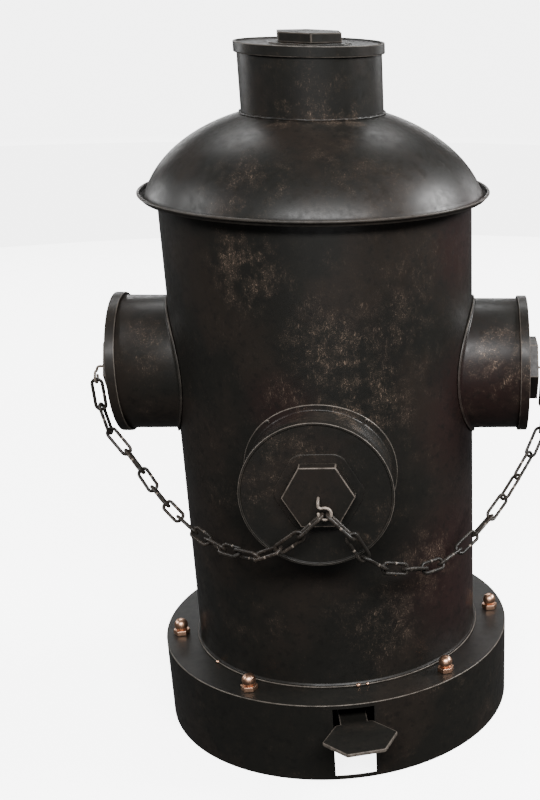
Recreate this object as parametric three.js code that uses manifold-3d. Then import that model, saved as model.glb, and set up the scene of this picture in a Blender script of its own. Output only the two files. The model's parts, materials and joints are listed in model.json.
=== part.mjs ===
// Pedal bin in the form of a fire hydrant, built from rolled and spun steel sheet.
// Millimetres. +Z up, -Y is the side with the foot pedal, the origin is on the floor on the body's axis.

import * as THREE from "three";
import { mergeVertices } from "three/addons/utils/BufferGeometryUtils.js";
import Module from "manifold-3d";

const wasm = await Module();
wasm.setup();

// ---- Driving dimensions ----

const SHEET = 1.5; // steel sheet of every shell
const PLATE = 3; // flat steel of brackets, ears and the lever
const GAP = 0.3; // air left between two neighbouring pieces

const BASE_RADIUS = 161.6;
const BASE_HEIGHT = 77;
const HEM = 3; // width and height of the skirt's folded lower edge
const STRAP_REACH = 153.5; // half length of the strap that crosses the base inside the hem
const SLOT_WIDTH = 36;
const SLOT_TOP = 73;
const BALL_NUT_CIRCLE = 147.5; // radius on which the ball nuts stand
const BALL_NUT_ANGLES = [-88, -36, 36, 88]; // degrees round from the pedal
const BALL_FLATS = 13;
const BALL_FOOT = 5;
const BALL_RADIUS = 6.2;
const BALL_CENTRE = 9;

const BODY_RADIUS = 130;
const BODY_TOP = 495.5;
const BODY_FLANGE = 3; // width and height of the fillet at the body's foot

const RIM_RADIUS = 145.4; // outside of the lid's rolled wire edge
const RIM_HEIGHT = 485;
const RIM_WIRE = 1.2;
const DOME_HALF_WIDTH = 143; // the dome's section is a quarter of an ellipse
const DOME_HALF_HEIGHT = 92;
const DOME_CENTRE_HEIGHT = 462.6;
const DOME_FOOT_RADIUS = 138.9; // where the dome flares out to the gutter behind its rim
const DOME_FLARE = 2.3;
const GUTTER_FLOOR = 482.7;

// Facets round each turned piece.
const BODY_SEGMENTS = 60;
const DOME_SEGMENTS = 52;
const TUBE_SEGMENTS = 32;

const TUBE_RADIUS = 57.8; // the neck and the three nozzles are rolled to one size
const NECK_FOOT = 547.8;
const NECK_TOP = 600;
const CAP_BAND = 7;
const NECK_CAP_RADIUS = 60.2;

const NOZZLE_TURN = -7.7; // degrees that the nozzles stand turned from the pedal

// Each nozzle: degrees round from the front one, height of its axis, distance from the body's axis to its
// cap's face, radii of the saddle flange at its root and of its cap, the nut's place on the cap (to the
// right, and up), and the hanging ring's place (out from the nut's face, and down from its middle).
const NOZZLES = {
  front: { round: 0.6, height: 276.3, face: 169, collar: 63, cap: 61.2, nut: [2, 2.7], ring: [8, 10.4] },
  right: { round: 90, height: 333.2, face: 177, collar: 60.9, cap: 60.2, nut: [0, -4], ring: [9.5, 8.5] },
  left: { round: -90, height: 335.5, face: 176, collar: 60.9, cap: 60.2, nut: [0, -4], ring: [11.5, 8.5] },
};

const NUT_FLATS = 50;
const NECK_NUT_THICKNESS = 7.5;
const NOZZLE_NUT_THICKNESS = 10;
const BOSS_CORNERS = 76; // pressed hexagon under each large nut
const BOSS_ROUNDING = 9;
const BOSS_THICKNESS = 1;
const RING_RADIUS = 5; // wire ring that hangs on each nozzle nut
const RING_WIRE = 1.3;
const RING_SLACK = 1.5; // between the ring's wire and the end of the link that hangs on it
const RING_ASIDE = 5; // from the nut's centre sideways to the ring's centre

const LINKS_PER_CHAIN = 15;
const LINK_WIRE = 1.6; // radius of the chain's wire
const LINK_WIDTH = 12.5;
const LINK_SLACK = 0.4;
const CHAIN_TWIST = 40; // degrees that the links in the chain's middle are rolled on

const LEVER_PIVOT = { y: -22, z: 41.4 };
const LEVER_WIDTH = 24;
const PEDAL_CORNER = 32.3; // from the middle of the hexagonal foot plate to a corner
const PEDAL_REACH = 168; // from the pivot to the middle of the foot plate
const PEDAL_ASIDE = 3; // from the lever's middle to the foot plate's
const PEDAL_YAW = 6;
const EAR_SPREAD = 17; // half the space between the ears that hold the lever's axle
const AXLE_RADIUS = 3;
const BORE_RADIUS = 3.3;

const HINGE = { y: 167, z: 487 };
const EAR_REACH = 15; // half the outside width of the hinge bracket
const CRANK = 29; // from the hinge pin to the crank pin
const CRANK_ANGLE = 37.5; // below level with the lid shut, as far above it with the lid open
const CRANK_PIN_RADIUS = 2.5;
const ROD_Y = 141;
const ROD_RADIUS = 2.5;
const GUIDE_HEIGHT = 255; // of the underside of the rod's guide on the body

// Degrees that the lever stands off level at rest: its rear end lifts the rod by the crank's whole rise.
const PEDAL_TILT = THREE.MathUtils.radToDeg(
  Math.atan((CRANK * Math.sin(THREE.MathUtils.degToRad(CRANK_ANGLE))) / (ROD_Y - LEVER_PIVOT.y)),
);

const BUCKET_TOP_RADIUS = 118;
const BUCKET_FOOT_RADIUS = 106;
const BUCKET_FOOT = 79;
const BUCKET_TOP = 392;
const BUCKET_WALL = 2;
const BUCKET_LIP = 3; // width and height of the bucket's upper edge
const BAIL_RADIUS = 125;
const BAIL_PIVOT = BUCKET_TOP - 12;
const BAIL_WIRE = 2;

// ---- Materials ----

const finish = (color, roughness, metalness) => new THREE.MeshStandardMaterial({ color, roughness, metalness });
const BRONZE = finish(0x2a2522, 0.42, 0.85);
const WORN_BRONZE = finish(0x3a2c24, 0.4, 0.9);
const COPPER = finish(0xa4694a, 0.35, 1.0);
const STEEL = finish(0x8c8c88, 0.4, 1.0);
const ZINC = finish(0x9a9c9e, 0.5, 0.9);

// ---- Small helpers ----

const radians = THREE.MathUtils.degToRad;
const hexCorner = (flats) => flats / Math.sqrt(3);

function toSolid(geometry) {
  geometry.deleteAttribute("normal");
  geometry.deleteAttribute("uv");
  const merged = mergeVertices(geometry, 1e-3);
  const vertProperties = new Float32Array(merged.attributes.position.array);
  const triVerts = new Uint32Array(merged.index.array);
  return new wasm.Manifold(new wasm.Mesh({ numProp: 3, vertProperties, triVerts }));
}

function toGeometry(solid) {
  const mesh = solid.getMesh();
  const geometry = new THREE.BufferGeometry();
  geometry.setAttribute("position", new THREE.BufferAttribute(new Float32Array(mesh.vertProperties), 3));
  geometry.setIndex(new THREE.BufferAttribute(new Uint32Array(mesh.triVerts), 1));
  return geometry;
}

const join = (first, ...others) => others.reduce((sum, other) => sum.add(other), first);
const cut = (first, ...others) => others.reduce((rest, other) => rest.subtract(other), first);

function box(x0, x1, y0, y1, z0, z1) {
  const geometry = new THREE.BoxGeometry(x1 - x0, y1 - y0, z1 - z0);
  geometry.translate((x0 + x1) / 2, (y0 + y1) / 2, (z0 + z1) / 2);
  return toSolid(geometry);
}

// A profile of [radius, height] pairs turned round the Z axis.
function turned(profile, segments) {
  const points = profile.map(([radius, height]) => new THREE.Vector2(radius, height));
  const geometry = new THREE.LatheGeometry(points, segments);
  geometry.rotateX(Math.PI / 2);
  return toSolid(geometry);
}

// A ring of sheet: the profile closes on itself.
const turnedShell = (profile, segments) => turned([...profile, profile[0]], segments);

const drum = (radius, z0, z1, segments) =>
  turned([[0, z0], [radius, z0], [radius, z1], [0, z1]], segments);

// A cylinder along X through a point of the YZ plane.
function crossBar(radius, halfLength, y, z, segments = 16) {
  const geometry = new THREE.CylinderGeometry(radius, radius, 2 * halfLength, segments);
  geometry.rotateZ(Math.PI / 2);
  geometry.translate(0, y, z);
  return toSolid(geometry);
}

// A flat plate from an outline in the XY plane, standing from z0 to z1.
function plate(shape, z0, z1, curveSegments = 4) {
  const geometry = new THREE.ExtrudeGeometry(shape, { depth: z1 - z0, bevelEnabled: false, curveSegments });
  geometry.translate(0, 0, z0);
  return toSolid(geometry);
}

// A plate from an outline of [y, z] points, standing from x0 to x1.
function sidePlate(outline, x0, x1) {
  const shape = new THREE.Shape(outline.map(([y, z]) => new THREE.Vector2(y, z)));
  const geometry = new THREE.ExtrudeGeometry(shape, { depth: x1 - x0, bevelEnabled: false });
  geometry.rotateX(Math.PI / 2);
  geometry.rotateZ(Math.PI / 2);
  geometry.translate(x0, 0, 0);
  return toSolid(geometry);
}

// A hexagon with its corners rounded; its first corner points along +X, turned by `start` degrees.
function hexagon(corner, rounding, start = 0) {
  const shape = new THREE.Shape();
  const at = (step, pull) => {
    const here = new THREE.Vector2(corner, 0).rotateAround(new THREE.Vector2(), radians(start + 60 * step));
    const next = new THREE.Vector2(corner, 0).rotateAround(new THREE.Vector2(), radians(start + 60 * (step + pull)));
    return here.lerp(next, rounding / corner);
  };
  for (let step = 0; step < 6; step += 1) {
    const tip = at(step, 0);
    const before = at(step, -1);
    const after = at(step, 1);
    if (step === 0) shape.moveTo(before.x, before.y);
    else shape.lineTo(before.x, before.y);
    if (rounding > 0) shape.quadraticCurveTo(tip.x, tip.y, after.x, after.y);
  }
  shape.closePath();
  return shape;
}

// A round wire along a path; its ends are flat.
function wire(path, radius, steps, sides = 8) {
  const round = new THREE.Shape();
  round.absarc(0, 0, radius, 0, 2 * Math.PI);
  const options = { steps, extrudePath: path, curveSegments: sides / 2 };
  return toSolid(new THREE.ExtrudeGeometry(round, options));
}

function mesh(name, solid, material) {
  const piece = new THREE.Mesh(toGeometry(solid), material);
  piece.name = name;
  return piece;
}

const hydrant = new THREE.Group();

// ---- Base: skirt, top plate, pedal bracket ----

function baseSkirt() {
  const top = BASE_HEIGHT - SHEET - GAP;
  const inside = BASE_RADIUS - SHEET;
  const fold = BASE_RADIUS - HEM;
  const wall = turnedShell(
    [[fold, 0], [BASE_RADIUS, 0], [BASE_RADIUS, top], [inside, top], [inside, HEM], [fold, HEM]],
    BODY_SEGMENTS,
  );
  const slot = box(-SLOT_WIDTH / 2, SLOT_WIDTH / 2, -BASE_RADIUS - 10, -BASE_RADIUS + 20, HEM, SLOT_TOP);
  return cut(wall, slot);
}

function basePlate() {
  const disc = drum(BASE_RADIUS, BASE_HEIGHT - SHEET, BASE_HEIGHT, BODY_SEGMENTS);
  const rodHole = drum(ROD_RADIUS + 1, 0, BASE_HEIGHT + 10, 16).translate([0, ROD_Y, 0]);
  return cut(disc, rodHole);
}

// A flat strap across the base with two ears that hold the lever's axle.
function pedalBracket() {
  const { y, z } = LEVER_PIVOT;
  const strap = box(-STRAP_REACH, STRAP_REACH, y - 14, y + 36, 0, PLATE);
  const ear = [[y - 14, PLATE - 1], [y + 14, PLATE - 1], [y + 8, z + 5], [y - 8, z + 5]];
  const ears = [-EAR_SPREAD - PLATE, EAR_SPREAD].map((x) => sidePlate(ear, x, x + PLATE));
  const bore = crossBar(BORE_RADIUS, 30, y, z);
  return cut(join(strap, ...ears), bore);
}

hydrant.add(mesh("base_skirt", baseSkirt(), BRONZE));
hydrant.add(mesh("base_plate", basePlate(), BRONZE));
hydrant.add(mesh("pedal_bracket", pedalBracket(), BRONZE));

// ---- Ball nuts on the base ----

function ballNut() {
  const foot = plate(hexagon(hexCorner(BALL_FLATS), 0), 0, BALL_FOOT);
  const ball = new THREE.SphereGeometry(BALL_RADIUS, 12, 8);
  ball.rotateX(Math.PI / 2);
  ball.translate(0, 0, BALL_CENTRE);
  return join(foot, toSolid(ball));
}

BALL_NUT_ANGLES.forEach((angle, index) => {
  const nut = mesh(`ball_nut_${index + 1}`, ballNut(), COPPER);
  const around = radians(angle);
  nut.position.set(BALL_NUT_CIRCLE * Math.sin(around), -BALL_NUT_CIRCLE * Math.cos(around), BASE_HEIGHT + GAP);
  nut.rotation.z = around;
  hydrant.add(nut);
});

// ---- Body ----

function bodyShell() {
  const foot = BASE_HEIGHT + GAP;
  const inside = BODY_RADIUS - SHEET;
  const flange = BODY_RADIUS + BODY_FLANGE;
  return turnedShell(
    [[inside, foot], [flange, foot], [flange, foot + SHEET], [BODY_RADIUS, foot + BODY_FLANGE],
      [BODY_RADIUS, BODY_TOP], [inside, BODY_TOP]],
    BODY_SEGMENTS,
  );
}

hydrant.add(mesh("body_shell", bodyShell(), BRONZE));

// ---- Lid: dome, neck, cap, nut ----

// Points of the dome's elliptical section from its foot up to the axis.
function domeArc(inset, steps) {
  const halfWidth = DOME_HALF_WIDTH - inset;
  const halfHeight = DOME_HALF_HEIGHT - inset;
  const start = Math.acos((DOME_FOOT_RADIUS - inset) / halfWidth);
  const points = [];
  for (let step = 0; step <= steps; step += 1) {
    const angle = start + ((Math.PI / 2 - start) * step) / steps;
    points.push([Math.max(0, halfWidth * Math.cos(angle)), DOME_CENTRE_HEIGHT + halfHeight * Math.sin(angle)]);
  }
  points[steps][0] = 0;
  return points;
}

// The rolled wire edge, from under it round its outside to the gutter.
function rimArc() {
  const centre = RIM_RADIUS - RIM_WIRE;
  return [-110, -50, 10, 70, 130, 185].map((angle) => [
    centre + RIM_WIRE * Math.cos(radians(angle)),
    RIM_HEIGHT + RIM_WIRE * Math.sin(radians(angle)),
  ]);
}

function domeSolid(inset, steps) {
  const arc = domeArc(inset, steps);
  return turned([[0, BODY_TOP - 20], [DOME_FOOT_RADIUS - inset, BODY_TOP - 20], ...arc], DOME_SEGMENTS);
}

// The dome's foot flares out to a narrow gutter, which turns up to the wire edge.
function lidDome() {
  const inner = domeArc(SHEET, 7).reverse();
  const outer = domeArc(0, 9);
  const underside = GUTTER_FLOOR - SHEET;
  const gutterIn = DOME_FOOT_RADIUS + DOME_FLARE;
  const gutterOut = RIM_RADIUS - 2 * RIM_WIRE - 0.6;
  return turned(
    [...inner, [gutterIn - 0.8, underside], [gutterOut, underside], ...rimArc(),
      [gutterOut, GUTTER_FLOOR], [gutterIn, GUTTER_FLOOR], ...outer],
    DOME_SEGMENTS,
  );
}

function neckTube() {
  const inside = TUBE_RADIUS - SHEET;
  const top = NECK_TOP - SHEET - GAP;
  return turnedShell(
    [[inside, NECK_FOOT], [TUBE_RADIUS, NECK_FOOT], [TUBE_RADIUS, top], [inside, top]],
    TUBE_SEGMENTS,
  );
}

// A cup that closes a tube: flat face, raised edge, band, and a hem that turns in to the tube.
// Its face is at height 0 and its band hangs below.
function capCup(radius) {
  const inside = radius - SHEET;
  const hem = TUBE_RADIUS + GAP;
  const profile = [
    [0, -SHEET], [inside, -SHEET], [inside, SHEET - CAP_BAND], [hem, SHEET - CAP_BAND], [hem, -CAP_BAND],
    [radius, -CAP_BAND], [radius, 0.6], [radius - 0.7, 1.2], [radius - 1.7, 0.8], [radius - 2.4, 0], [0, 0],
  ];
  return turned(profile, TUBE_SEGMENTS);
}

const boss = () => plate(hexagon(BOSS_CORNERS / 2, BOSS_ROUNDING), -0.5, BOSS_THICKNESS, 3);
const largeNut = (thickness) => plate(hexagon(hexCorner(NUT_FLATS), 1.2), 0, thickness, 1);

const lidParts = new THREE.Group();
lidParts.add(mesh("lid_dome", lidDome(), BRONZE));
lidParts.add(mesh("neck_tube", neckTube(), BRONZE));
const neckCapMesh = mesh("neck_cap", join(capCup(NECK_CAP_RADIUS), boss().rotate([0, 0, 30])), BRONZE);
neckCapMesh.position.z = NECK_TOP;
const neckNutMesh = mesh("neck_nut", largeNut(NECK_NUT_THICKNESS).rotate([0, 0, 30]), WORN_BRONZE);
neckNutMesh.position.z = NECK_TOP + BOSS_THICKNESS + GAP;
lidParts.add(neckCapMesh, neckNutMesh);
hydrant.add(lidParts);

// ---- Nozzles: tube, cap, nut with its hanging ring ----

// A nozzle is built along +Z, from the body's axis outwards, with local +Y pointing up,
// and then laid over and turned to its place.
function nozzleTube(face, collarRadius) {
  const inside = TUBE_RADIUS - SHEET;
  const bodyAcross = (radius) => toSolid(new THREE.CylinderGeometry(radius, radius, 200, 60));
  const end = face - SHEET - GAP;
  const tube = turnedShell([[inside, 90], [TUBE_RADIUS, 90], [TUBE_RADIUS, end], [inside, end]], TUBE_SEGMENTS);
  const disc = turnedShell([[inside, 90], [collarRadius, 90], [collarRadius, 150], [inside, 150]], TUBE_SEGMENTS);
  const collar = disc.intersect(bodyAcross(BODY_RADIUS + 2 * GAP + SHEET));
  return cut(join(tube, collar), bodyAcross(BODY_RADIUS + 2 * GAP));
}

// The ring hangs in a plane parallel to the nut's face, below and beside a stem from the nut's centre.
function nutWithRing([standoff, drop]) {
  const plane = NOZZLE_NUT_THICKNESS + standoff;
  const toRing = new THREE.Vector2(-RING_ASIDE, drop).setLength(RING_RADIUS);
  const stem = new THREE.CatmullRomCurve3([
    new THREE.Vector3(0, 0, NOZZLE_NUT_THICKNESS - 1.5),
    new THREE.Vector3(0, -0.3, plane - 2.5),
    new THREE.Vector3(0.5, -1.4, plane - 0.4),
    new THREE.Vector3(RING_ASIDE + toRing.x, toRing.y - drop, plane),
  ]);
  const ring = new THREE.TorusGeometry(RING_RADIUS, RING_WIRE, 6, 14);
  ring.translate(RING_ASIDE, -drop, plane);
  return join(largeNut(NOZZLE_NUT_THICKNESS), wire(stem, RING_WIRE, 5, 6), toSolid(ring));
}

function nozzle(side) {
  const { round, height, face, collar, cap, nut, ring } = NOZZLES[side];
  const tubeMesh = mesh(`nozzle_tube_${side}`, nozzleTube(face, collar), BRONZE);
  const capMesh = mesh(`nozzle_cap_${side}`, join(capCup(cap), boss().translate([...nut, 0])), BRONZE);
  capMesh.position.z = face;
  const nutMesh = mesh(`nozzle_nut_${side}`, nutWithRing(ring), WORN_BRONZE);
  nutMesh.position.set(...nut, face + BOSS_THICKNESS + GAP);
  const assembly = new THREE.Group();
  assembly.add(tubeMesh, capMesh, nutMesh);
  assembly.rotation.x = Math.PI / 2;
  const turntable = new THREE.Group();
  turntable.position.z = height;
  turntable.rotation.z = radians(NOZZLE_TURN + round);
  turntable.add(assembly);
  return turntable;
}

hydrant.add(nozzle("front"), nozzle("right"), nozzle("left"));

// ---- Chains ----

// An oval link lying along X: a torus whose two halves are pulled apart.
function chainLink(innerLength) {
  const bend = LINK_WIDTH / 2 - LINK_WIRE;
  const geometry = new THREE.TorusGeometry(bend, LINK_WIRE, 5, 10);
  const spread = innerLength / 2 + LINK_WIRE - bend;
  const position = geometry.attributes.position;
  for (let index = 0; index < position.count; index += 1) {
    position.setX(index, position.getX(index) + Math.sign(position.getX(index)) * spread);
  }
  return toSolid(geometry);
}

// A point on a nozzle's hanging ring on the side that the chain pulls to, as [right, out, height] in a
// frame that stands `turn` degrees back from the nozzle.
function ringSpot(side, turn, sideways, down) {
  const { height, face, nut, ring } = NOZZLES[side];
  const pull = new THREE.Vector2(sideways, -down).setLength(RING_RADIUS);
  const right = nut[0] + RING_ASIDE + pull.x;
  const out = face + BOSS_THICKNESS + GAP + NOZZLE_NUT_THICKNESS + ring[0];
  const spot = new THREE.Vector2(right, out).rotateAround(new THREE.Vector2(), -radians(turn));
  return [spot.x, spot.y, height + nut[1] - ring[1] + pull.y];
}

// The chain hangs from the side ring, drapes over the lower edge of the front cap, and ends on the front ring.
// Each spot is [towards the side nozzle, towards the front nozzle, height].
function chainPath(side, sign, lowest, crossing) {
  const [sideRight, sideReach, sideHeight] = ringSpot(side, 0, -0.1 * sign, 1);
  const sideShift = -sign * sideRight;
  const [frontRight, frontReach, frontHeight] = ringSpot("front", NOZZLES.front.round, 0.9 * sign, 0.6);
  const frontShift = sign * frontRight;
  const rise = (part) => lowest + part * (sideHeight - lowest);
  const spots = [
    [sideReach, sideShift, sideHeight],
    [sideReach - 5, sideShift + 4, rise(0.62)],
    [172, 22, rise(0.36)],
    [140, 64, rise(0.12)],
    [98, 118, lowest],
    [68, 156, lowest + 0.45 * (crossing - lowest)],
    [42, frontReach - 9, crossing],
    [frontShift + 19, frontReach, (crossing + frontHeight) / 2 + 1],
    [frontShift, frontReach, frontHeight],
  ];
  return new THREE.CatmullRomCurve3(spots.map(([out, front, z]) => new THREE.Vector3(sign * out, -front, z)));
}

// The links alternate flat and upright, starting flat to the ring they hang on, with a slow twist between.
function linkRoll(index) {
  return 90 * index + CHAIN_TWIST * Math.sin((Math.PI * index) / (LINKS_PER_CHAIN - 1));
}

function chain(side, sign, lowest, crossing) {
  const path = chainPath(side, sign, lowest, crossing);
  path.arcLengthDivisions = 400;
  const length = path.getLength();
  const ends = 2 * (RING_WIRE + RING_SLACK);
  const innerLength = (length + (LINKS_PER_CHAIN - 1) * LINK_SLACK + ends) / LINKS_PER_CHAIN;
  const pitch = innerLength - LINK_SLACK;
  const first = (innerLength - ends) / 2;
  const group = new THREE.Group();
  for (let index = 0; index < LINKS_PER_CHAIN; index += 1) {
    const along = first + index * pitch;
    const before = path.getPointAt(Math.max(0, along - pitch / 2) / length);
    const after = path.getPointAt(Math.min(length, along + pitch / 2) / length);
    const number = String(index + 1).padStart(2, "0");
    const link = mesh(`chain_link_${side}_${number}`, chainLink(innerLength), WORN_BRONZE);
    const centre = before.clone().add(after).multiplyScalar(0.5);
    const heading = after.clone().sub(before).normalize();
    const outward = new THREE.Vector3(centre.x, centre.y, 0).projectOnPlane(heading).normalize();
    const upright = heading.clone().cross(outward);
    link.quaternion.setFromRotationMatrix(new THREE.Matrix4().makeBasis(heading, outward, upright));
    link.rotateX(radians(linkRoll(index)));
    link.position.copy(centre);
    group.add(link);
  }
  group.rotation.z = radians(NOZZLE_TURN);
  return group;
}

hydrant.add(chain("left", -1, 217, 229));
hydrant.add(chain("right", 1, 190, 221));

// ---- Pedal lever and its axle ----

// Built level through the pivot, then tilted so that the foot plate stands high.
function pedalLever() {
  const half = PLATE / 2;
  const rearReach = ROD_Y - LEVER_PIVOT.y + 8;
  const bar = box(-LEVER_WIDTH / 2, LEVER_WIDTH / 2, -PEDAL_REACH + 20, rearReach, -half, half);
  const footPlate = plate(hexagon(PEDAL_CORNER, 1.5, PEDAL_YAW), -half, half, 2)
    .translate([PEDAL_ASIDE, -PEDAL_REACH, 0]);
  const sleeve = crossBar(7, 15, 0, 0, 20);
  return cut(join(bar, footPlate, sleeve), crossBar(BORE_RADIUS, 20, 0, 0));
}

const lever = mesh("pedal_lever", pedalLever(), WORN_BRONZE);
lever.position.set(0, LEVER_PIVOT.y, LEVER_PIVOT.z);
lever.rotation.x = radians(-PEDAL_TILT);
hydrant.add(lever);

// A headed pin through both ears.
function headedPin(radius, halfLength) {
  const shank = crossBar(radius, halfLength, 0, 0);
  const heads = [-1, 1].map((end) => crossBar(radius + 2, 1, 0, 0).translate([end * (halfLength + 0.9), 0, 0]));
  return join(shank, ...heads);
}

const axle = mesh("pedal_axle", headedPin(AXLE_RADIUS, 20.5), STEEL);
axle.position.set(0, LEVER_PIVOT.y, LEVER_PIVOT.z);
hydrant.add(axle);

// ---- Push rod and its guide behind the body ----

const crankPin = {
  y: HINGE.y - CRANK * Math.cos(radians(CRANK_ANGLE)),
  z: HINGE.z - CRANK * Math.sin(radians(CRANK_ANGLE)),
};

// A round foot on the lever, a long shank, and a flat head with a crosswise slot for the crank pin.
function pushRod() {
  const leverTop = LEVER_PIVOT.z - (ROD_Y - LEVER_PIVOT.y) * Math.tan(radians(PEDAL_TILT)) + PLATE / 2;
  const footRadius = 4;
  const footCentre = leverTop + footRadius + 2 * GAP;
  const foot = new THREE.SphereGeometry(footRadius, 12, 8);
  foot.translate(0, ROD_Y, footCentre);
  const shank = drum(ROD_RADIUS, footCentre, crankPin.z - 5, 12).translate([0, ROD_Y, 0]);
  const head = box(-2, 2, ROD_Y - 8, ROD_Y + 8, crankPin.z - 6.5, crankPin.z + 6.5);
  const slotHalf = CRANK_PIN_RADIUS + 1;
  const slotReach = (CRANK - CRANK * Math.cos(radians(CRANK_ANGLE))) / 2 + CRANK_PIN_RADIUS + 0.4;
  const slot = box(-5, 5, ROD_Y - slotReach, ROD_Y + slotReach, crankPin.z - slotHalf, crankPin.z + slotHalf);
  return cut(join(toSolid(foot), shank, head), slot);
}

function rodGuide() {
  const block = box(-7, 7, BODY_RADIUS - 4, ROD_Y + 7, 0, 8);
  const bore = drum(ROD_RADIUS + 0.7, -5, 15, 16).translate([0, ROD_Y, 0]);
  return cut(block, bore, drum(BODY_RADIUS + 2 * GAP, -5, 15, 96)).translate([0, 0, GUIDE_HEIGHT]);
}

hydrant.add(mesh("push_rod", pushRod(), STEEL));
hydrant.add(mesh("rod_guide", rodGuide(), BRONZE));

// ---- Lid hinge: bracket on the body, pin, and the arm that carries lid and crank ----

function hingeBracket() {
  const { y, z } = HINGE;
  const inside = BODY_RADIUS - 4;
  const foot = z - 47;
  const shoulder = z - 7;
  const outline = [
    [inside, foot], [BODY_RADIUS + 10, foot], [y + 7, z - 11], [y + 7, z + 7], [y - 7, z + 7],
    [y - 16, shoulder], [inside, shoulder],
  ];
  const ears = [-EAR_REACH, EAR_REACH - PLATE].map((x) => sidePlate(outline, x, x + PLATE));
  const web = box(-EAR_REACH, EAR_REACH, inside, BODY_RADIUS + 2.5, foot, shoulder);
  const body = drum(BODY_RADIUS + 2 * GAP, foot - 10, z + 30, 96);
  return cut(join(web, ...ears), crossBar(BORE_RADIUS, 30, y, z), body);
}

function lidArm() {
  const barrel = crossBar(6.5, 11, HINGE.y, HINGE.z, 20);
  const strapFoot = HINGE.z + 3.8;
  const strap = box(-11, 11, DOME_FOOT_RADIUS - 5, HINGE.y + 2, strapFoot, strapFoot + PLATE);
  const along = { y: (crankPin.y - HINGE.y) / CRANK, z: (crankPin.z - HINGE.z) / CRANK };
  const corner = (reach, aside) => [
    HINGE.y + along.y * reach - along.z * aside,
    HINGE.z + along.z * reach + along.y * aside,
  ];
  const outline = [corner(0, 5), corner(0, -5), corner(CRANK + 4, -4), corner(CRANK + 4, 4)];
  const cheeks = [-2 * PLATE, PLATE].map((x) => sidePlate(outline, x, x + PLATE));
  const pin = crossBar(CRANK_PIN_RADIUS, 5.5, crankPin.y, crankPin.z, 12);
  const bore = crossBar(BORE_RADIUS, 30, HINGE.y, HINGE.z);
  return cut(join(barrel, strap, ...cheeks, pin), bore, domeSolid(-2 * GAP, 24));
}

const hingePin = mesh("hinge_pin", headedPin(AXLE_RADIUS, 15.5), STEEL);
hingePin.position.set(0, HINGE.y, HINGE.z);
hydrant.add(mesh("hinge_bracket", hingeBracket(), BRONZE));
hydrant.add(hingePin);
hydrant.add(mesh("lid_arm", lidArm(), BRONZE));

// ---- Inner bucket and its bail ----

function innerBucket() {
  const lip = BUCKET_TOP_RADIUS + BUCKET_LIP;
  const underLip = BUCKET_TOP - BUCKET_LIP;
  const floor = BUCKET_FOOT + BUCKET_WALL;
  const profile = [
    [0, BUCKET_FOOT], [BUCKET_FOOT_RADIUS, BUCKET_FOOT], [BUCKET_TOP_RADIUS, underLip], [lip, underLip],
    [lip, BUCKET_TOP], [BUCKET_TOP_RADIUS - BUCKET_WALL, BUCKET_TOP], [BUCKET_FOOT_RADIUS - BUCKET_WALL, floor],
    [0, floor],
  ];
  const bores = crossBar(BAIL_WIRE + 0.6, 150, 0, BAIL_PIVOT, 8);
  return cut(turned(profile, 36), bores);
}

class HalfHoop extends THREE.Curve {
  getPoint(share, target = new THREE.Vector3()) {
    const angle = Math.PI * share;
    return target.set(-BAIL_RADIUS * Math.cos(angle), -BAIL_RADIUS * Math.sin(angle), BAIL_PIVOT);
  }
}

// Half a hoop lying level round the bucket's front, with a pin at each end turned in through the wall.
function bail() {
  const hoop = wire(new HalfHoop(), BAIL_WIRE, 20, 6);
  const pins = [-1, 1].map((side) =>
    crossBar(BAIL_WIRE, 6, 0, BAIL_PIVOT, 8).translate([side * (BAIL_RADIUS - 5), 0, 0]),
  );
  return join(hoop, ...pins);
}

hydrant.add(mesh("inner_bucket", innerBucket(), ZINC));
hydrant.add(mesh("bucket_bail", bail(), STEEL));

export default hydrant;
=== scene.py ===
"""Pedal bin in the form of a fire hydrant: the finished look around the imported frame. Metres, +Z up."""
import json
import math

import bmesh
import bpy
import numpy as np
from mathutils import Matrix, Vector, noise

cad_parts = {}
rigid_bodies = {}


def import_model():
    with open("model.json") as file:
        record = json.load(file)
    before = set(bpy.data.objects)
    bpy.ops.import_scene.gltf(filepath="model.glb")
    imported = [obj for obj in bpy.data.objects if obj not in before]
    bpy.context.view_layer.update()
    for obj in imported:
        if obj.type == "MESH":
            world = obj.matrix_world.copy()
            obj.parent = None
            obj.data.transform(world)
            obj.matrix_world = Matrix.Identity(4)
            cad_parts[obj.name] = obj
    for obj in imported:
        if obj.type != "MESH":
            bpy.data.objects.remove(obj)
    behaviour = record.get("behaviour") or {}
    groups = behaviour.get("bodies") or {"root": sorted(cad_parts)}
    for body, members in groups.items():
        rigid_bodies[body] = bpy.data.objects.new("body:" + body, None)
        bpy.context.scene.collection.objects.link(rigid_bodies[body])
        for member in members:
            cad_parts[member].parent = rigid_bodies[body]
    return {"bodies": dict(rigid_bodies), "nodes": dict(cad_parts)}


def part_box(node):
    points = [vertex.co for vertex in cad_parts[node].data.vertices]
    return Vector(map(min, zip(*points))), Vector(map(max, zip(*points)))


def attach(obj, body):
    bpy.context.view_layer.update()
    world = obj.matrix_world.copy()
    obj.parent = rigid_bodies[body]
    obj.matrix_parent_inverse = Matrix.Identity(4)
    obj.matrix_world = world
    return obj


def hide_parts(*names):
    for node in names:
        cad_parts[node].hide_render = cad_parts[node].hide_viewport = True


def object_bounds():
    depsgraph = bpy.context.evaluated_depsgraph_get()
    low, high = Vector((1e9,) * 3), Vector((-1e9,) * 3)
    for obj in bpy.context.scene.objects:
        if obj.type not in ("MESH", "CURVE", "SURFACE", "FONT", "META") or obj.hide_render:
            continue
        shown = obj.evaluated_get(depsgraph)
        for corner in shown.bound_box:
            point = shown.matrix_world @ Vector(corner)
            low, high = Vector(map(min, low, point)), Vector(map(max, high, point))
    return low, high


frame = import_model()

CAD_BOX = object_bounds()
MM = 0.001

# ---- Sizes that the frame's boxes don't give ----

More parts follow.
